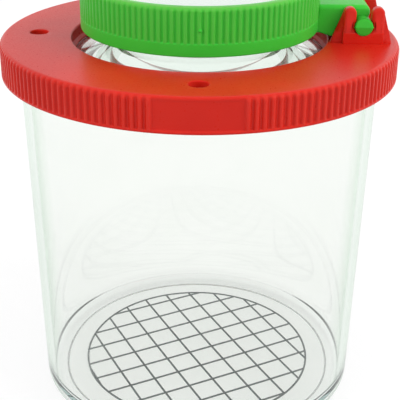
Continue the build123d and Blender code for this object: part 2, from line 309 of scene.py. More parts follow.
clear, clear_in, clear_out = new_group(
    "handled_clear",
    [("Clear", COLOUR), ("Haze", COLOUR), ("Streak Scale", VALUE)],
    [("Colour", COLOUR), ("Roughness", VALUE), ("Height", VALUE)],
)
place = clear.nodes.new("ShaderNodeTexCoord").outputs["Object"]
drawn = add_node(clear, "ShaderNodeMapping", Scale=(1.0, 1.0, STREAK_DRAW))
clear.links.new(place, drawn.inputs["Vector"])
streaks = noise(clear, drawn.outputs["Vector"], clear_in.outputs["Streak Scale"], 2.0)
smears = spread(clear, noise(clear, place, SMEAR_SCALE, 4.0, 0.6), *SMEAR_SPAN)
hazed = mix_colours(clear, smears, clear_in.outputs["Clear"], clear_in.outputs["Haze"])
clear.links.new(hazed, clear_out.inputs["Colour"])
clear.links.new(spread(clear, smears, 0.0, 1.0, 0.0, SMEAR_ROUGHNESS), clear_out.inputs["Roughness"])
clear.links.new(streaks, clear_out.inputs["Height"])
print("handled clear:", len(clear.nodes), "nodes")

# %% [markdown]
# ### Coloured plastic
# The lid and the cap are thin, and light wanders a little way into them before it comes out again, which
# softens the shade between the ribs. A plain glossy shader would look hard, so some of the light goes below
# the surface here. The gloss is lower than a polished moulding's, because the grain scatters it.

# %% Coloured plastic
RELIEF_DEPTH = 0.02
SKIN_BUMP = 0.08
GLOW_WEIGHT = 0.35
GLOW_DEPTH = 0.5


def finish_from(name, group, bump, **values):
    """Material whose Principled shader takes colour, roughness and a shallow bump from a shared group."""
    material = bpy.data.materials.new(name)
    material.use_nodes = True
    tree = material.node_tree
    shader = tree.nodes["Principled BSDF"]
    shared = tree.nodes.new("ShaderNodeGroup")
    shared.node_tree = group
    for label, value in values.items():
        shared.inputs[label.replace("_", " ")].default_value = value
    relief = add_node(tree, "ShaderNodeBump", Strength=bump, Distance=RELIEF_DEPTH * MM)
    tree.links.new(shared.outputs["Colour"], shader.inputs["Base Color"])
    tree.links.new(shared.outputs["Roughness"], shader.inputs["Roughness"])
    tree.links.new(shared.outputs["Height"], relief.inputs["Height"])
    tree.links.new(relief.outputs["Normal"], shader.inputs["Normal"])
    return material, shader


def glow_through(shader, gloss, reach):
    """Thin coloured plastic lets some light wander inside; reach says how far each colour gets."""
    shader.inputs["Specular IOR Level"].default_value = gloss
    shader.inputs["Subsurface Weight"].default_value = GLOW_WEIGHT
    shader.inputs["Subsurface Radius"].default_value = reach
    shader.inputs["Subsurface Scale"].default_value = GLOW_DEPTH * MM


# Each finish sets how strongly its painted highlight pales crests and rounded edges towards the scuff colour
red_plastic, shader = finish_from(
    "red_plastic", skin, SKIN_BUMP,
    Pigment=(0.66, 0.018, 0.008, 1.0), Deep_Pigment=(0.58, 0.013, 0.006, 1.0),
    Scuff=(0.78, 0.12, 0.08, 1.0), Edge_Wear=0.08, Drift_Scale=55.0, Grain_Scale=2600.0,
)
glow_through(shader, gloss=0.22, reach=(1.0, 0.25, 0.15))
green_plastic, shader = finish_from(
    "green_plastic", skin, SKIN_BUMP,
    Pigment=(0.055, 0.55, 0.045, 1.0), Deep_Pigment=(0.040, 0.51, 0.038, 1.0),
    Scuff=(0.20, 0.42, 0.09, 1.0), Edge_Wear=0.60, Drift_Scale=60.0, Grain_Scale=2800.0,
)
glow_through(shader, gloss=0.15, reach=(0.25, 1.0, 0.25))
print("coloured plastics:", red_plastic.name, green_plastic.name)

# %% [markdown]
# ### Clear plastic
# Clear plastic takes its tint from depth: a ray that crosses a thin wall stays white, and one that runs along
# the wall comes out green. A tinted surface would colour both alike. So an absorbing volume does the work.
# Where a wall turns away from the eye the surface takes a darker green: partly what a ray loses on its long
# way in the skin, and partly painted shade for the dark surroundings that such edges show.

# %% Clear plastic
PLASTIC_INDEX = 1.49
CLEAR_BUMP = 0.05
GRAZING_SHADE_SPAN = 0.64, 0.92


def clear_finish(name, edge, tint, density, **values):
    """Refracting plastic: what it swallows on the way through tints thick edges more than thin walls.

    Where a wall turns away from the eye the surface takes the edge colour, partly for a ray's long way
    through its skin and partly as painted shade for dark surroundings seen in such edges.
    """
    material, shader = finish_from(name, clear, CLEAR_BUMP, **values)
    shader.inputs["Transmission Weight"].default_value = 1.0
    shader.inputs["IOR"].default_value = PLASTIC_INDEX
    tree = material.node_tree
    faced = shader.inputs["Base Color"].links[0].from_socket
    # Edge colour at grazing angles: partly a long path's tint, partly painted shade
    grazing_shade = spread(tree, add_node(tree, "ShaderNodeLayerWeight", Blend=0.5).outputs["Facing"], *GRAZING_SHADE_SPAN)
    tree.links.new(mix_colours(tree, grazing_shade, faced, edge), shader.inputs["Base Color"])
    depth = add_node(tree, "ShaderNodeVolumeAbsorption", Color=tint, Density=density)
    tree.links.new(depth.outputs["Volume"], tree.nodes["Material Output"].inputs["Volume"])
    return material


clear_plastic = clear_finish(
    "clear_plastic", edge=(0.44, 0.68, 0.45, 1.0), tint=(0.56, 0.70, 0.68, 1.0), density=40.0,
    Clear=(0.975, 0.982, 0.962, 1.0), Haze=(0.955, 0.968, 0.942, 1.0), Streak_Scale=220.0,
)
lens_plastic = clear_finish(
    "lens_plastic", edge=(0.95, 0.98, 0.95, 1.0), tint=(0.70, 0.86, 0.74, 1.0), density=14.0,
    Clear=(0.998, 1.0, 0.998, 1.0), Haze=(0.985, 0.99, 0.985, 1.0), Streak_Scale=90.0,
)
print("clear plastics:", clear_plastic.name, lens_plastic.name)

# %% [markdown]
# ### Printed ink
# The grid is a pad print, a film of dark ink that lies thinner in places. A single dark colour would look
# drawn. Noise at the scale of the pad's grain moves both colour and gloss between a full film and a thin one.

# %% Printed ink
FULL_INK = (0.004, 0.048, 0.040, 1.0)
THIN_INK = (0.014, 0.085, 0.070, 1.0)
INK_GRAIN = 1400.0
INK_SPAN = 0.45, 0.75
INK_ROUGHNESS = 0.45, 0.65

grid_ink = bpy.data.materials.new("grid_ink")
grid_ink.use_nodes = True
tree = grid_ink.node_tree
shader = tree.nodes["Principled BSDF"]
place = tree.nodes.new("ShaderNodeTexCoord").outputs["Object"]
thin = spread(tree, noise(tree, place, INK_GRAIN, 3.0, 0.6), *INK_SPAN)
tree.links.new(mix_colours(tree, thin, FULL_INK, THIN_INK), shader.inputs["Base Color"])
tree.links.new(spread(tree, thin, 0.0, 1.0, *INK_ROUGHNESS), shader.inputs["Roughness"])
print("ink:", grid_ink.name)

# %% [markdown]
# ## Beaker
# The beaker is one clear moulding: a foot ring, a recessed floor, a drafted wall and a flange that the lid
# grips. A glass object only looks right when it is a closed solid with a real wall, because light bends both
# on its way in and on its way out. So the profile runs from the axis under the floor, round the outside,
# over the rim and back down the inside to the axis. The underside sits a hair below the top of the printed
# lines, which puts the ink in the plastic as a print is, with no film of air between. Where a clear face
# seats on another moulding it stops a little short, so that no two faces lie in one plane.

# %% Beaker
WALL_DRAFT = 1.25
BASE_RADIUS = 30.1
BASE_ROUND = 1.8
FOOT_RING = 2.1
FOOT_EDGE = 0.3
RECESS_ROUND = 0.4
WALL = 1.4
FLOOR_TOP = 2.6
FLOOR_ROUND = 1.4
FLANGE_HEIGHT = 2.0
FLANGE_ROUND = 0.3
RIM_ROUND = 0.4
CONTACT = 0.03
PRINT_SINK = 0.02
BEAKER_COLUMNS = 360


def outside_radius(height):
    """Outer radius of the drafted wall at a height."""
    return BASE_RADIUS + height * np.tan(np.radians(WALL_DRAFT))


underside = grid_high[2] - PRINT_SINK
foot_radius = BASE_RADIUS - BASE_ROUND - FOOT_RING
flange_bottom = RIM_TOP - FLANGE_HEIGHT
rim_face = RIM_TOP - CONTACT
beaker_arcs = arcs_at(
    [
        (0, underside, 0),
        (foot_radius, underside, RECESS_ROUND),
        (foot_radius, 0, FOOT_EDGE),
        (BASE_RADIUS, 0, BASE_ROUND),
        (outside_radius(flange_bottom), flange_bottom, FLANGE_ROUND),
        (RIM_RADIUS, flange_bottom, FLANGE_ROUND),
        (RIM_RADIUS, rim_face, FLANGE_ROUND),
        (outside_radius(RIM_TOP) - WALL, rim_face, RIM_ROUND),
        (outside_radius(FLOOR_TOP) - WALL, FLOOR_TOP, FLOOR_ROUND),
        (0, FLOOR_TOP, 0),
    ],
    steps=10,
)
beaker_profile = np.vstack([[(0, underside)], beaker_arcs[1:-1].reshape(-1, 2), [(0, FLOOR_TOP)]])
beaker_sheet = turned_sheet(beaker_profile, BEAKER_COLUMNS)
make_piece("beaker_shell", [beaker_sheet], clear_plastic, "jar", "clear_plastic", "beaker")

# %% [markdown]
# ## Measuring grid
# The grid is ink a seventh of a millimetre thick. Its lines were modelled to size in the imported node, so that
# mesh stays and only takes the ink, which thins and breaks a little as a pad print does.

# %% Measuring grid
frame["nodes"]["measuring_grid"].data.materials.clear()
frame["nodes"]["measuring_grid"].data.materials.append(grid_ink)
print("grid", grid_low[2], "to", grid_high[2], "radius", grid_high[0])

# %% [markdown]
# ## Knurling
# Both mouldings have upright ribs for the fingers. They could be an array of small bars, but on a moulding
# they are one skin with its wall. So the rib is a wave on the radius: 0 on a crest, 1 in a groove, with a
# smooth flank between them, and the wave dies away on the round of the top edge.

# %% The rib wave
RIB_STEPS = 10
COARSE = 5


def groove_depth(ribs, crest, groove):
    """Share of the full depth at a count of ribs from a crest's middle: flanks follow 3t^2 - 2t^3.

    The crest ends and the groove's bottom starts at the given shares of a pitch.
    """
    off_crest = np.abs((ribs + 0.5) % 1.0 - 0.5)
    flank = np.clip((off_crest - crest) / (groove - crest), 0, 1)
    return flank * flank * (3 - 2 * flank)


def crest_highlight(weight, groove):
    """Painted highlight of a knurled skin: full on the crests, none in the grooves and where there are no ribs.
    """
    return (weight[:, None] > 0) * (1 - groove)


def fan_faces(fine, coarse):
    """Faces between a fine line of point numbers and a coarse one, each over one coarse gap."""
    gap = np.arange(len(coarse))[:, None] * COARSE
    along = fine[(gap + np.arange(COARSE + 1)) % len(fine)]
    return np.hstack([along, np.roll(coarse, -1)[:, None], coarse[:, None]])


def knurled_sheet(skin_profile, weight, depth, angles, groove, inner_profile):
    """Closed ring: a knurled skin on all angles, and the rest of its outline on every fifth angle.

    The skin's radius loses depth x weight x groove, with one weight for each profile point and one groove
    value for each angle. Flat many-sided faces join the two at the skin's ends.
    """
    skin_points = turn(skin_profile, angles, depth * weight[:, None] * groove)
    inner_points = turn(inner_profile, angles[::COARSE])
    fine, coarse = len(angles), len(angles[::COARSE])
    inner_first = skin_points.shape[0] * fine
    inner_last = inner_first + (len(inner_profile) - 1) * coarse
    skin_first = np.arange(fine)
    skin_last = (len(skin_profile) - 1) * fine + skin_first
    faces = [
        grid_faces(len(skin_profile), fine),
        fan_faces(skin_last, inner_first + np.arange(coarse)),
        fan_faces(skin_first, inner_last + np.arange(coarse)),
    ]
    return skin_points, inner_points, faces, grid_faces(len(inner_profile), coarse, inner_first)


print("columns for each rib:", RIB_STEPS, "on the skin and", RIB_STEPS // COARSE, "inside")

# %% [markdown]
# ## Lid ring
# The ring is a flat plate with a knurled skirt, a throat with a snap bead over the lens seat, and three air
# holes. Its outline is drawn once, corner by corner. Only the skirt needs the fine columns that ribs ask for,
# so the rest of the outline turns on every fifth of them. In front the ribs leave a plain panel.

# %% Lid ring: outline
LID_SKIRT = 5.75
LID_FIT = 0.1
LID_EDGE_ROUND = 0.9
LEAD_IN = 0.4
THROAT_RADIUS = 22.25
THROAT_ROUND = 0.35
BEAD_RADIUS = 21.7
BEAD_DEPTH = 1.9
BEAD_SLOPE = 0.4
BEAD_HEIGHT = 0.3
LENS_FIT = 0.1
LEDGE_RADIUS = 20.4
COLLAR_RADIUS = 23.5

skirt_bottom = LID_TOP - LID_SKIRT
skirt_bore = RIM_RADIUS + LID_FIT
bead_start = LID_TOP - BEAD_DEPTH
bead_top = bead_start - BEAD_SLOPE
bead_bottom = bead_top - BEAD_HEIGHT
seat_radius = lid_lens_high[0] + LENS_FIT
seat_height = lid_lens_low[2]
collar_bottom = ring_low[2]
lid_arcs = arcs_at(
    [
        (LID_RADIUS, skirt_bottom, 0.18),
        (LID_RADIUS, LID_TOP, LID_EDGE_ROUND),
        (THROAT_RADIUS, LID_TOP, THROAT_ROUND),
        (THROAT_RADIUS, bead_start, 0.15),
        (BEAD_RADIUS, bead_top, 0.12),
        (BEAD_RADIUS, bead_bottom, 0.1),
        (seat_radius, bead_bottom, 0),
        (seat_radius, seat_height, 0),
        (LEDGE_RADIUS, seat_height, 0.15),
        (LEDGE_RADIUS, collar_bottom, 0.2),
        (COLLAR_RADIUS, collar_bottom, 0.2),
        (COLLAR_RADIUS, RIM_TOP, 0.25),
        (skirt_bore, RIM_TOP, 0.25),
        (skirt_bore, skirt_bottom + LEAD_IN, 0.1),
        (skirt_bore + LEAD_IN, skirt_bottom, 0.1),
    ],
    steps=8,
)
THROAT_CORNERS, BORE_CORNERS = slice(2, 12), slice(12, None)
print("lid outline:", len(lid_arcs), "corners")

# %% Lid ring: columns for the ribs and the plain panel
LID_RIBS = 159
LID_PANEL = np.radians(24.5)
PANEL_STEPS = 105
LID_CREST, LID_GROOVE = 0.14, 0.38

rib_pitch = (2 * np.pi - LID_PANEL) / (LID_RIBS - 1)
first_rib = (LID_PANEL - np.pi) / 2
rib_count = np.arange(LID_RIBS * RIB_STEPS) / RIB_STEPS - 0.5
rib_angles = first_rib + rib_pitch * rib_count
panel_start = first_rib + rib_pitch * (LID_RIBS - 0.5)
panel_angles = np.linspace(panel_start, rib_angles[0] + 2 * np.pi, PANEL_STEPS, endpoint=False)
lid_angles = np.concatenate([rib_angles, panel_angles])
lid_groove = np.concatenate([groove_depth(rib_count, LID_CREST, LID_GROOVE), np.ones(PANEL_STEPS)])
print("lid columns", len(lid_angles), "rib pitch", np.degrees(rib_pitch))

# %% [markdown]
# ### Air holes
# A boolean would cut the holes, and leave slivers round them. Instead, a block of the plate's grid is left
# out above and below each hole, and a sleeve fills the place: it starts at the block's edge, rolls over a
# rounded lip, lines the hole and rolls out again underneath.

# %% Lid ring: skirt and plate
HOLE_RADIUS = 1.6
HOLE_MARGIN = 0.43
HOLE_CIRCLE = outside_radius(RIM_TOP) - WALL - HOLE_RADIUS - HOLE_MARGIN
BLOCK_HALF = 2.6
BLOCK_ROWS = 9
LID_RIB_DEPTH = 0.4
SHOULDER_SHARE = 0.6
FOOT_BEAD = 0.45
RIB_FOOT_SLOPE = 0.06

plate_radii = HOLE_CIRCLE + np.linspace(BLOCK_HALF, -BLOCK_HALF, BLOCK_ROWS)
plate_top = np.column_stack([plate_radii, np.full(BLOCK_ROWS, LID_TOP)])
plate_under = np.column_stack([plate_radii[::-1], np.full(BLOCK_ROWS, RIM_TOP)])
rib_foot = [(LID_RADIUS, skirt_bottom + FOOT_BEAD + row * RIB_FOOT_SLOPE) for row in (-2, -1, 1, 3)]
skirt_profile = np.vstack([lid_arcs[0], rib_foot, lid_arcs[1]])
shoulder_fade = np.clip(1 - np.linspace(0, 1, len(lid_arcs[1])) / SHOULDER_SHARE, 0, 1)
# Grooves start between the second and the third row of the rib's foot
skirt_weight = np.concatenate([np.zeros(len(lid_arcs[0]) + 2), [1.0, 1.0], shoulder_fade])
throat_profile = lid_arcs[THROAT_CORNERS].reshape(-1, 2)
bore_profile = lid_arcs[BORE_CORNERS].reshape(-1, 2)
inner_profile = np.vstack([plate_top, throat_profile, plate_under, bore_profile])
skin_points, inner_points, lid_faces, inner_faces = knurled_sheet(
    skirt_profile, skirt_weight, LID_RIB_DEPTH, lid_angles, lid_groove, inner_profile
)
print("lid skin", skin_points.shape, "plate, throat and bore", inner_points.shape)

# %% Lid ring: sleeves of the air holes
HOLE_LIP = 0.2
LIP_STEPS = 5
HOLE_TURNS = np.radians([90, 180, 270])


def block_edge(rows, columns):
    """Row and column numbers of the points round a block that spans rows x columns gaps, in one turn."""
    down, right = np.arange(rows), np.arange(columns)
    row = np.concatenate([0 * right, down, 0 * right + rows, rows - down])
    column = np.concatenate([right, 0 * down + columns, columns - right, 0 * down])
    return row, column


def sleeve(centre, above, below):
    """Lining of a round hole: rows run from the loop above over a quarter-round lip, down, and out below."""
    outwards = unit(above[:, :2] - centre)
    bend = np.linspace(0, np.pi / 2, LIP_STEPS)
    reach = HOLE_RADIUS + HOLE_LIP * (1 - np.sin(bend))
    drop = HOLE_LIP * (1 - np.cos(bend))
    reaches = np.concatenate([reach, reach[::-1]])
    heights = np.concatenate([above[0, 2] - drop, (below[0, 2] + drop)[::-1]])
    ring = centre + reaches[:, None, None] * outwards
    lining = np.dstack([ring, np.broadcast_to(heights[:, None], ring.shape[:2])])
    rows = np.concatenate([above[None], lining, below[None]])
    return rows.reshape(-1, 3), [grid_faces(len(rows), len(above))]


print("air holes at", np.degrees(HOLE_TURNS).tolist(), "degrees on a circle of radius", HOLE_CIRCLE)

# %% Lid ring: the whole moulding
coarse_angles = lid_angles[::COARSE]
keep = np.ones((len(inner_profile) - 1, len(coarse_angles)), bool)
under_row = BLOCK_ROWS + len(throat_profile)
sleeves = []
for turn_angle in HOLE_TURNS:
    first, last = np.searchsorted(coarse_angles, turn_angle + np.array([-1, 1]) * BLOCK_HALF / HOLE_CIRCLE)
    row, column = block_edge(BLOCK_ROWS - 1, last - first)
    keep[: BLOCK_ROWS - 1, first:last] = False
    keep[under_row : under_row + BLOCK_ROWS - 1, first:last] = False
    above = inner_points[row, first + column]
    below = inner_points[under_row + BLOCK_ROWS - 1 - row, first + column]
    sleeves.append(sleeve(HOLE_CIRCLE * np.array([np.cos(turn_angle), np.sin(turn_angle)]), above, below))

lid_faces.append(inner_faces[keep.ravel()])
lid_points = np.vstack([skin_points.reshape(-1, 3), inner_points.reshape(-1, 3)])
# The crests of the skirt's ribs get the painted highlight
make_piece(
    "lid_ring_moulding", [(lid_points, lid_faces), *sleeves], red_plastic, "lid", "red_plastic", "lid_ring",
    highlight_share=crest_highlight(skirt_weight, lid_groove).ravel(),
)

# %% [markdown]
# ## Hinge brackets
# Two brackets stand on the ring. Each has a cheek with sloping flanks and, in front of it, two round-topped
# posts with a keyhole between them that the pin snaps into, over a low saddle bar. Boxes could be joined to
# make them, but light wanders inside this plastic, and a wall hidden within another one would swallow it.
# So one outline is carried through the bracket's depth as a single closed skin: the flanks end at the cheek,
# where the outline is pinched in to the posts, and in front of the posts it is pressed down to the bar.

# %% Carrying an outline along Y
def shrunk(outline, distance):
    """Closed outline with every side moved inwards by a distance, corners mitred."""
    ahead = unit(np.roll(outline, -1, axis=0) - outline)
    normal = np.column_stack([ahead[:, 1], -ahead[:, 0]])
    before = np.roll(normal, 1, axis=0)
    mitre = (normal + before) / (1 + (normal * before).sum(1, keepdims=True))
    after = np.roll(outline, -1, axis=0)
    area = (outline[:, 0] * after[:, 1] - after[:, 0] * outline[:, 1]).sum()
    return outline - np.sign(area) * distance * mitre


def round_end(outline, face, edge, inwards, share=1.0, steps=6):
    """Stations (outline, place) from a face inwards, along a quarter round of radius edge.

    The share, one value or one for each outline point, says how much of the round a point takes.
    """
    bend = np.linspace(0, np.pi / 2, steps)
    insets = edge * (1 - np.sin(bend))
    places = face + inwards * edge * (1 - np.cos(bend))
    return [(shrunk(outline, inset * share), place) for inset, place in zip(insets, places)]


def carried_sheet(stations):
    """Closed skin through outlines (across, up) at places along Y, with a flat face at each end."""
    outlines = np.array([outline for outline, _ in stations])
    places = np.array([place for _, place in stations])
    rows, columns = outlines.shape[:2]
    along = np.broadcast_to(places[:, None], (rows, columns))
    points = np.stack([outlines[..., 0], along, outlines[..., 1]], axis=-1).reshape(-1, 3)
    near = np.arange(columns)[None]
    return points, [grid_faces(rows, columns), near, near + (rows - 1) * columns]


def mirrored(sheet):
    """The same sheet on the other side of the plane Y = 0."""
    points, faces = sheet
    return points * (1, -1, 1), faces


small_square = np.array([(0.0, 0.0), (4.0, 0.0), (4.0, 4.0), (0.0, 4.0)])
print("a 4 mm square shrunk by 1 mm:", shrunk(small_square, 1.0).tolist())

# %% Hinge brackets
BRACKET_INNER = 4.1
CHEEK_OUTER = 5.2
POST_OUTER = 5.82
SADDLE_OUTER = 6.0
POST_HALF = 1.085
POST_DROP = 0.25
POST_STRAIGHT = ring_high[2] - LID_TOP - POST_HALF - POST_DROP
POST_ROUND = 0.5
MOUTH_HALF = 1.3
PIN_SEAT = 1.55
CHEEK_FOOT = (5.45, 4.95)
POST_REACH = MOUTH_HALF + 2 * POST_HALF
SADDLE_TOP = 1.9
SADDLE_STEP = 0.06
ROOT = 0.5
POST_STEPS = 17
SEAT_STEPS = 41

pin_height = hinge_z - LID_TOP
flank_share = (SADDLE_TOP + np.array([0, SADDLE_STEP])) / POST_STRAIGHT
flank_left = [(POST_REACH - CHEEK_FOOT[0], -POST_STRAIGHT)] * (1 - flank_share[:, None])
flank_right = [(CHEEK_FOOT[1] - POST_REACH, -POST_STRAIGHT)] * (1 - flank_share[:, None])
post_bow = np.linspace(np.pi, 0, POST_STEPS)
post_top = POST_HALF * np.column_stack([np.cos(post_bow), np.sin(post_bow)])
post_middle = np.array([MOUTH_HALF + POST_HALF, POST_STRAIGHT])
mouth_angle = np.arccos(MOUTH_HALF / PIN_SEAT)
seat_bow = np.linspace(np.pi - mouth_angle, 2 * np.pi + mouth_angle, SEAT_STEPS)
seat = PIN_SEAT * np.column_stack([np.cos(seat_bow), np.sin(seat_bow)]) + (0, pin_height)
cheek = np.vstack(
    [
        [(-CHEEK_FOOT[0], -ROOT), (-CHEEK_FOOT[0], 0)],
        flank_left + (-POST_REACH, POST_STRAIGHT),
        post_top + post_middle * (-1, 1),
        seat,
        post_top + post_middle,
        flank_right[::-1] + (POST_REACH, POST_STRAIGHT),
        [(CHEEK_FOOT[1], 0), (CHEEK_FOOT[1], -ROOT)],
    ]
)
posts = np.column_stack([np.clip(cheek[:, 0], -POST_REACH, POST_REACH), cheek[:, 1]])
print("bracket outline:", len(cheek), "points")

# %% Saddle bar in front of the posts
CHEEK_EDGE = 0.12
SADDLE_EDGE = 0.16
APART = 0.03

above = posts[:, 1] > SADDLE_TOP + SADDLE_STEP / 2
left, right = above & (posts[:, 0] < 0), above & (posts[:, 0] > 0)
post_face = shrunk(posts, POST_ROUND * above[:, None])
saddle = posts.copy()
# Pressed points keep their order along the bar and stay a hair apart, so that no face folds over
saddle[left, 0] = np.minimum.accumulate(post_face[left, 0][::-1])[::-1]
saddle[right, 0] = np.maximum.accumulate(post_face[right, 0])
saddle[:, 0] += np.linspace(-APART, APART, len(saddle)) * above
saddle[above, 1] = SADDLE_TOP
on_lid = np.array([hinge_x, LID_TOP])
cheek, posts, saddle = cheek + on_lid, posts + on_lid, saddle + on_lid
bracket = carried_sheet(
    round_end(cheek, -BRACKET_INNER, CHEEK_EDGE, -1)
    + [(cheek, -CHEEK_OUTER), (posts, -CHEEK_OUTER)]
    + round_end(posts, -POST_OUTER, POST_ROUND, 1, above[:, None])[::-1]
    + [(saddle, -POST_OUTER)]
    + round_end(saddle, -SADDLE_OUTER, SADDLE_EDGE, 1)[::-1]
)
make_piece("hinge_brackets", [bracket, mirrored(bracket)], red_plastic, "lid", "red_plastic", "lid_ring")

# %% [markdown]
# ## Lenses
# The lid's lens is flat below and domed above; the cap's lens is domed on both sides. A lens only magnifies
# if its curve is true, so the domes are arcs of one circle, sampled finely, and not a smoothed polygon.

# %% Dome and rim of a lens
LENS_CURVE = 61.0
LENS_ROUND = 0.12
LENS_STEP = 0.8
DOME_STEPS = 48
LENS_COLUMNS = 300


def dome(edge_radius, edge_height, side):
    """Arc of the lens curve's circle from the axis to its edge, above the edge for side 1, below for -1."""
    radius = np.linspace(0, edge_radius, DOME_STEPS)
    rise = np.sqrt(LENS_CURVE**2 - radius**2) - np.sqrt(LENS_CURVE**2 - edge_radius**2)
    return np.column_stack([radius, edge_height + side * rise])


def rim(radius, bottom, top):
    """Lens rim with rounded edges, from its lower edge to its upper edge."""
    corners = [(0, bottom, 0), (radius, bottom, LENS_ROUND), (radius, top, LENS_ROUND), (0, top, 0)]
    return arcs_at(corners)[1:3].reshape(-1, 2)


print("a dome 40 mm across rises", dome(20.0, 0.0, 1)[0, 1], "mm")

# %% Lid lens
LID_LENS_EDGE = 2.0

lid_lens_radius = lid_lens_high[0]
lid_lens_bottom = seat_height + CONTACT
lid_lens_top = seat_height + LID_LENS_EDGE
lid_lens_profile = np.vstack(
    [
        [(0, lid_lens_bottom)],
        rim(lid_lens_radius, lid_lens_bottom, lid_lens_top),
        dome(lid_lens_radius - LENS_STEP, lid_lens_top, 1)[::-1],
    ]
)
lid_lens_sheet = turned_sheet(lid_lens_profile, LENS_COLUMNS)
make_piece("lid_lens_clear", [lid_lens_sheet], lens_plastic, "lid", "lens_plastic", "lid_lens")

# %% Cap lens
CAP_LENS_RECESS = 0.5
CAP_LENS_EDGE = 1.8
CAP_LENS_FLAT = 1.5

cap_lens_radius = cap_lens_high[0]
cap_lens_top = CAP_TOP - CAP_LENS_RECESS
cap_lens_bottom = cap_lens_top - CAP_LENS_EDGE
cap_lens_profile = np.vstack(
    [
        dome(cap_lens_radius - CAP_LENS_FLAT, cap_lens_bottom, -1),
        rim(cap_lens_radius, cap_lens_bottom + CONTACT, cap_lens_top),
        dome(cap_lens_radius - LENS_STEP, cap_lens_top, 1)[::-1],
    ]
)
cap_lens_sheet = turned_sheet(cap_lens_profile, LENS_COLUMNS)
make_piece("cap_lens_clear", [cap_lens_sheet], lens_plastic, "flip", "lens_plastic", "flip_lens")

# %% [markdown]
# ## Flip cap
# The cap is a short tube with a smooth foot band, ribs above it and a rounded top edge. The grooves stop
# short at the band, which leaves a row of tiny ledges that catch the light. It could be turned and then cut
# by a hundred bars, but the rib wave of the lid does it in one skin. On its front the mould left a small gate
# nub. The rib crests and the top edge get a painted highlight, a paler colour, most of it on the top edge.

# %% Cap tube: outline
CAP_HEIGHT = 7.8
CAP_WALL = 1.5
CAP_EDGE = 0.7
CAP_BEAD_REACH = 0.25
CAP_BEAD_HEIGHT = 0.4
CAP_LENS_LEDGE = 1.4
CAP_LEDGE_HEIGHT = 1.2

cap_bottom = CAP_TOP - CAP_HEIGHT
cap_bore = cap_lens_radius + LENS_FIT
cap_bead = cap_bore - CAP_BEAD_REACH
cap_bead_bottom = CAP_TOP - CAP_BEAD_HEIGHT
cap_ledge = cap_bore - CAP_LENS_LEDGE
cap_ledge_bottom = cap_lens_bottom - CAP_LEDGE_HEIGHT
cap_foot_bore = CAP_RADIUS - CAP_WALL
cap_arcs = arcs_at(
    [
        (CAP_RADIUS, cap_bottom, 0.25),
        (CAP_RADIUS, CAP_TOP, CAP_EDGE),
        (cap_bead, CAP_TOP, 0.12),
        (cap_bead, cap_bead_bottom, 0.1),
        (cap_bore, cap_bead_bottom, 0),
        (cap_bore, cap_lens_bottom, 0),
        (cap_ledge, cap_lens_bottom, 0.15),
        (cap_ledge, cap_ledge_bottom, 0.2),
        (cap_foot_bore, cap_ledge_bottom, 0.2),
        (cap_foot_bore, cap_bottom, 0.2),
    ],
    steps=8,
)
print("cap outline:", len(cap_arcs), "corners")

# %% Cap tube: ribs
CAP_RIBS = 120
CAP_RIB_DEPTH = 0.26
CAP_CREST, CAP_GROOVE = 0.20, 0.40
CAP_BAND = 2.15
CAP_RIB_FADE = 0.25
FADE_START = 0.85

cap_rib_foot = [(CAP_RADIUS, cap_bottom + CAP_BAND + row * RIB_FOOT_SLOPE) for row in (-3, -1, 1, 3)]
cap_rib_top = [(CAP_RADIUS, CAP_TOP - CAP_EDGE - CAP_RIB_FADE)]
cap_profile = np.vstack([cap_arcs[0], cap_rib_foot, cap_rib_top, cap_arcs[1]])
fade_out = np.linspace(FADE_START, 0.0, len(cap_arcs[1])) ** 2
cap_weight = np.concatenate([np.zeros(len(cap_arcs[0]) + 2), [1.0, 1.0, 1.0], fade_out])
cap_count = np.arange(CAP_RIBS * RIB_STEPS) / RIB_STEPS
cap_angles = cap_count * 2 * np.pi / CAP_RIBS
cap_groove = groove_depth(cap_count, CAP_CREST, CAP_GROOVE)
cap_skin, cap_inner, cap_faces, cap_inner_faces = knurled_sheet(
    cap_profile, cap_weight, CAP_RIB_DEPTH, cap_angles, cap_groove, cap_arcs[2:].reshape(-1, 2)
)
cap_faces.append(cap_inner_faces)
cap_tube = np.vstack([cap_skin.reshape(-1, 3), cap_inner.reshape(-1, 3)]), cap_faces
print("cap skin", cap_skin.shape, "inside", cap_inner.shape)

# %% Gate nub
NUB_RADIUS = 0.32
NUB_REACH = 0.40
NUB_ASIDE, NUB_SINK, NUB_HEIGHT = 0.15, 0.10, 4.25
NUB_ROWS, NUB_COLUMNS = 13, 24

# An ellipsoid: tilt runs from its front pole to its back pole, spin goes round it
tilt, spin = np.meshgrid(
    np.linspace(0, np.pi, NUB_ROWS), np.linspace(0, 2 * np.pi, NUB_COLUMNS, endpoint=False), indexing="ij"
)
nub_across = NUB_RADIUS * np.sin(tilt) * np.cos(spin)
nub_up = NUB_RADIUS * np.sin(tilt) * np.sin(spin)
nub_points = np.stack([nub_across, -NUB_REACH * np.cos(tilt), nub_up], axis=-1)
nub_place = np.array([NUB_ASIDE, NUB_SINK - CAP_RADIUS, cap_bottom + NUB_HEIGHT])
gate_nub = (nub_points + nub_place).reshape(-1, 3), [grid_faces(NUB_ROWS, NUB_COLUMNS)]
print("gate nub at", nub_place.tolist())

# %% Painted highlight of the cap, and the whole moulding
CREST_SHARE = 0.35

edge_rows = len(cap_arcs[1])
# Painted highlight: a share of it on the rib crests, rising to full on the rounded top edge; the inside and the
# gate nub get none
cap_highlight = CREST_SHARE * crest_highlight(cap_weight, cap_groove)
cap_highlight[-edge_rows:] = np.linspace(cap_highlight[-edge_rows - 1], 1.0, edge_rows)
make_piece(
    "cap_moulding", [cap_tube, gate_nub], green_plastic, "flip", "green_plastic", "flip_cap",
    highlight_share=cap_highlight.ravel(),
)

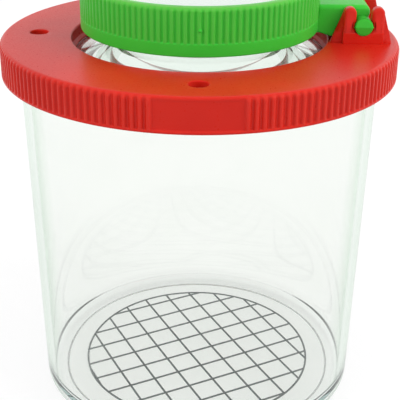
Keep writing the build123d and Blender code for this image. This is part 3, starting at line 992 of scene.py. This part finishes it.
# %% [markdown]
# ## Arm and hinge pin
# The arm runs from the cap to the hinge: a plate with a side wall under each edge, and a leg down to the pin.
# Separate slabs could be joined, but seen from the side the arm is one outline. Between the walls that
# outline is pressed up to the plate's underside, so one carried skin makes the whole channel. The pin has
# drafted ends that meet in a ridge, and a little flash where the mould's halves met.

# %% Arm: outline from the side
ARM_HEIGHT = 6.05
ARM_PLATE = 1.6
ARM_SINK = 0.75
ARM_EDGE = 0.75
ARM_PAST = 1.3
END_ROUND = 1.2
NECK_ABOVE, NECK_BELOW = 0.2, 0.6
NECK_ROUND = 0.6
LEG_BEFORE, LEG_PAST = 0.85, 1.0
LEG_ROUND = 0.3
WALL_NEAR, WALL_FAR = 1.7, 4.9
WALL_CLEAR, ROOT_CLEAR = 0.5, 1.2
WALL_ROUND = 0.4

arm_top = LID_TOP + ARM_HEIGHT
arm_under = arm_top - ARM_PLATE
arm_root = CAP_RADIUS - ARM_SINK
arm_end = hinge_x + ARM_PAST
leg_in, leg_out = hinge_x - LEG_BEFORE, hinge_x + LEG_PAST
wall_foot, root_foot = LID_TOP + WALL_CLEAR, LID_TOP + ROOT_CLEAR
arm_side = arcs_at(
    [
        (arm_root, arm_top, ARM_EDGE),
        (arm_end, arm_top, END_ROUND),
        (arm_end, arm_under + NECK_ABOVE, NECK_ROUND),
        (leg_out, arm_under - NECK_BELOW, NECK_ROUND),
        (leg_out, hinge_z, WALL_ROUND),
        (leg_in, hinge_z, LEG_ROUND),
        (hinge_x - WALL_NEAR, wall_foot, WALL_ROUND),
        (hinge_x - WALL_FAR, wall_foot, WALL_ROUND),
        (CAP_RADIUS, root_foot, WALL_ROUND),
        (arm_root, root_foot, WALL_ROUND),
    ]
).reshape(-1, 2)
print("arm outline:", len(arm_side), "points, top", arm_top)

# %% Arm: walls and plate
ARM_HALF = 3.8
ARM_WALL = 1.2
LOW_SHARE = 0.5

under_plate = (arm_side[:, 0] < leg_in) & (arm_side[:, 1] < arm_under)
arm_middle = np.column_stack([arm_side[:, 0], np.where(under_plate, arm_under, arm_side[:, 1])])
wall_inside = ARM_HALF - ARM_WALL
# The plate's edges take the whole round, and the thin walls below it a part
edge_share = np.clip(LOW_SHARE + (arm_side[:, 1:] - arm_under) / (arm_top - arm_under), LOW_SHARE, 1.0)
arm = carried_sheet(
    round_end(arm_side, -ARM_HALF, ARM_EDGE, 1, edge_share)
    + [(arm_side, -wall_inside), (arm_middle, -wall_inside)]
    + [(arm_middle, wall_inside), (arm_side, wall_inside)]
    + round_end(arm_side, ARM_HALF, ARM_EDGE, -1, edge_share)[::-1]
)
print("arm:", len(arm[0]), "points")

# %% Hinge pin
PIN_RADIUS = 1.5
PIN_HALF = 6.35
PIN_CHAMFER = 0.15
END_DRAFT = 0.2
END_STEPS = 8
DRAFT_MARGIN = 0.1
FLASH_REACH = 0.16
FLASH_WIDTH = 0.05
FLASH_STOP = 0.03
PIN_COLUMNS = 120

pin_turn = np.linspace(0, 2 * np.pi, PIN_COLUMNS, endpoint=False)
end_radii = np.linspace(0, PIN_RADIUS - PIN_CHAMFER, END_STEPS)
end_rows = np.column_stack([end_radii, np.full(END_STEPS, -PIN_HALF)])
side_places = [-PIN_HALF + PIN_CHAMFER, -SADDLE_OUTER - FLASH_STOP, -SADDLE_OUTER]
side_rows = np.column_stack([np.full(len(side_places), PIN_RADIUS), side_places])
near_half = np.vstack([end_rows, side_rows])
pin_profile = np.vstack([near_half, near_half[::-1] * (1, -1)])
# Flash stands on the first two rows of each side, outside the saddle bars
flash_near = END_STEPS + np.arange(2)
flash_rows = np.zeros(len(pin_profile))
flash_rows[np.concatenate([flash_near, -1 - flash_near])] = 1.0
flash = FLASH_REACH * flash_rows[:, None] * np.exp(-((np.sin(pin_turn) / FLASH_WIDTH) ** 2))
pin_reach = pin_profile[:, :1] + flash
pin_along = pin_profile[:, 1:]
drafted = np.abs(pin_along) > SADDLE_OUTER + DRAFT_MARGIN
slope_back = END_DRAFT * np.abs(pin_reach * np.sin(pin_turn)) * drafted
pin_points = np.stack(
    [
        hinge_x + pin_reach * np.cos(pin_turn),
        hinge_y + pin_along - np.sign(pin_along) * slope_back,
        hinge_z + pin_reach * np.sin(pin_turn),
    ],
    axis=-1,
)
pin = pin_points.reshape(-1, 3), [grid_faces(len(pin_profile), PIN_COLUMNS)]
make_piece("hinge_arm", [arm, pin], green_plastic, "flip", "green_plastic", "flip_cap")

# %% [markdown]
# ## Floor, light and camera
# The jar stands on a pale floor in a bright studio. Only rays that look at the floor or the room, straight or
# by way of gloss and clear plastic, meet white; the light that falls on the jar is at a plain level, so each
# pigment shows about as it was written. The floor is partly plain white and partly lit, which keeps a soft
# shadow. Lamps could be left in sight, but then their mirror image on the jar's floor would cover the grid
# from some sides, so they light the jar and stay out of gloss and clear plastic.

# %% Floor
FLOOR_HALF = 3.0
FLOOR_DROP = 0.05 * MM
FLOOR_PLAIN = (0.40, 0.40, 0.40, 1.0)
FLOOR_LIT = (0.24, 0.24, 0.24, 1.0)
FLOOR_GLOW = 0.80
WHITE = (1.0, 1.0, 1.0, 1.0)


def seen_directly(tree):
    """1 for rays that look at the surroundings: from the camera, off gloss, or through clear plastic."""
    path = tree.nodes.new("ShaderNodeLightPath")
    either = tree.nodes.new("ShaderNodeMath")
    either.operation = "MAXIMUM"
    both = tree.nodes.new("ShaderNodeMath")
    both.operation = "MAXIMUM"
    tree.links.new(path.outputs["Is Camera Ray"], either.inputs[0])
    tree.links.new(path.outputs["Is Glossy Ray"], either.inputs[1])
    tree.links.new(either.outputs[0], both.inputs[0])
    tree.links.new(path.outputs["Is Transmission Ray"], both.inputs[1])
    return both.outputs[0]


floor_finish = bpy.data.materials.new("pale_floor")
floor_finish.use_nodes = True
tree = floor_finish.node_tree
tree.nodes.remove(tree.nodes["Principled BSDF"])
plain = add_node(tree, "ShaderNodeBsdfDiffuse", Color=FLOOR_PLAIN)
lit = add_node(tree, "ShaderNodeBsdfDiffuse", Color=FLOOR_LIT)
glow = add_node(tree, "ShaderNodeEmission", Color=WHITE, Strength=FLOOR_GLOW)
white = tree.nodes.new("ShaderNodeAddShader")
tree.links.new(lit.outputs[0], white.inputs[0])
tree.links.new(glow.outputs[0], white.inputs[1])
choice = tree.nodes.new("ShaderNodeMixShader")
tree.links.new(seen_directly(tree), choice.inputs[0])
tree.links.new(plain.outputs[0], choice.inputs[1])
tree.links.new(white.outputs[0], choice.inputs[2])
tree.links.new(choice.outputs[0], tree.nodes["Material Output"].inputs["Surface"])

floor_mesh = bpy.data.meshes.new("floor")
floor_corners = FLOOR_HALF * np.array([(-1, -1, 0), (1, -1, 0), (1, 1, 0), (-1, 1, 0)]) - (0, 0, FLOOR_DROP)
floor_mesh.from_pydata(floor_corners.tolist(), [], [(0, 1, 2, 3)])
floor_mesh.materials.append(floor_finish)
floor = bpy.data.objects.new("floor", floor_mesh)
bpy.context.scene.collection.objects.link(floor)
print("floor:", 2 * FLOOR_HALF, "m wide")

# %% World
WORLD_LIGHT = 0.72
WORLD_COLOUR = (0.98, 0.99, 1.0, 1.0)

world = bpy.data.worlds.new("bright_room")
bpy.context.scene.world = world
world.use_nodes = True
tree = world.node_tree
light = add_node(tree, "ShaderNodeBackground", Color=WORLD_COLOUR, Strength=WORLD_LIGHT)
backdrop = add_node(tree, "ShaderNodeBackground", Color=WHITE, Strength=1.0)
choice = tree.nodes.new("ShaderNodeMixShader")
tree.links.new(seen_directly(tree), choice.inputs[0])
tree.links.new(light.outputs[0], choice.inputs[1])
tree.links.new(backdrop.outputs[0], choice.inputs[2])
tree.links.new(choice.outputs[0], tree.nodes["World Output"].inputs["Surface"])
print("world:", world.name, "light", WORLD_LIGHT)

# %% Lamps
JAR_MIDDLE = (0.0, 0.0, 0.045)


def softbox(name, place, size, power):
    """Square area lamp facing the jar's middle, in metres and watts, hidden from gloss and clear plastic."""
    lamp = bpy.data.lights.new(name, "AREA")
    lamp.size = size
    lamp.energy = power
    holder = bpy.data.objects.new(name, lamp)
    bpy.context.scene.collection.objects.link(holder)
    holder.location = place
    towards = Vector(JAR_MIDDLE) - Vector(place)
    holder.rotation_mode = "QUATERNION"
    holder.rotation_quaternion = towards.to_track_quat("-Z", "Y")
    holder.visible_glossy = False
    holder.visible_transmission = False
    return holder


lamps = [
    softbox("key_right", (0.56, -0.24, 0.42), 0.45, 2.6),
    softbox("fill_left", (-0.52, -0.28, 0.36), 0.50, 1.6),
    softbox("fill_front", (0.06, -0.62, 0.20), 0.40, 0.3),
]
print("lamps:", [lamp.name for lamp in lamps])

# %% [markdown]
# ### Camera
# The camera stands where the photograph was taken from, as fitted to the grid, the rims and the walls. A
# default camera would give another perspective. Inside clear plastic, light is thrown from face to face many
# times. Blender stops after four glossy turns by default, which leaves the rim of a lens black, so the limit
# is raised.

# %% Camera
CAMERA_SIDE = 0.00035
CAMERA_BACK = 0.1637
CAMERA_UP = 0.11205
CAMERA_PITCH = np.radians(25.233)
CAMERA_ROLL = 0.0087
LENS_MM = 85.77
SENSOR_MM = 36.0
CLIP_START = 0.01
GLOSSY_TURNS = 12

eye = bpy.data.cameras.new("photo_camera")
eye.sensor_width = SENSOR_MM
eye.lens = LENS_MM
eye.clip_start = CLIP_START
camera = bpy.data.objects.new("photo_camera", eye)
bpy.context.scene.collection.objects.link(camera)
camera.matrix_world = (
    Matrix.Translation((CAMERA_SIDE, -CAMERA_BACK, CAMERA_UP))
    @ Matrix.Rotation(np.pi / 2 - CAMERA_PITCH, 4, "X")
    @ Matrix.Rotation(CAMERA_ROLL, 4, "Z")
)
bpy.context.scene.camera = camera
bpy.context.scene.view_settings.view_transform = "Standard"
bpy.context.scene.cycles.glossy_bounces = GLOSSY_TURNS
print("camera:", LENS_MM, "mm lens, looking down", np.degrees(CAMERA_PITCH), "degrees")
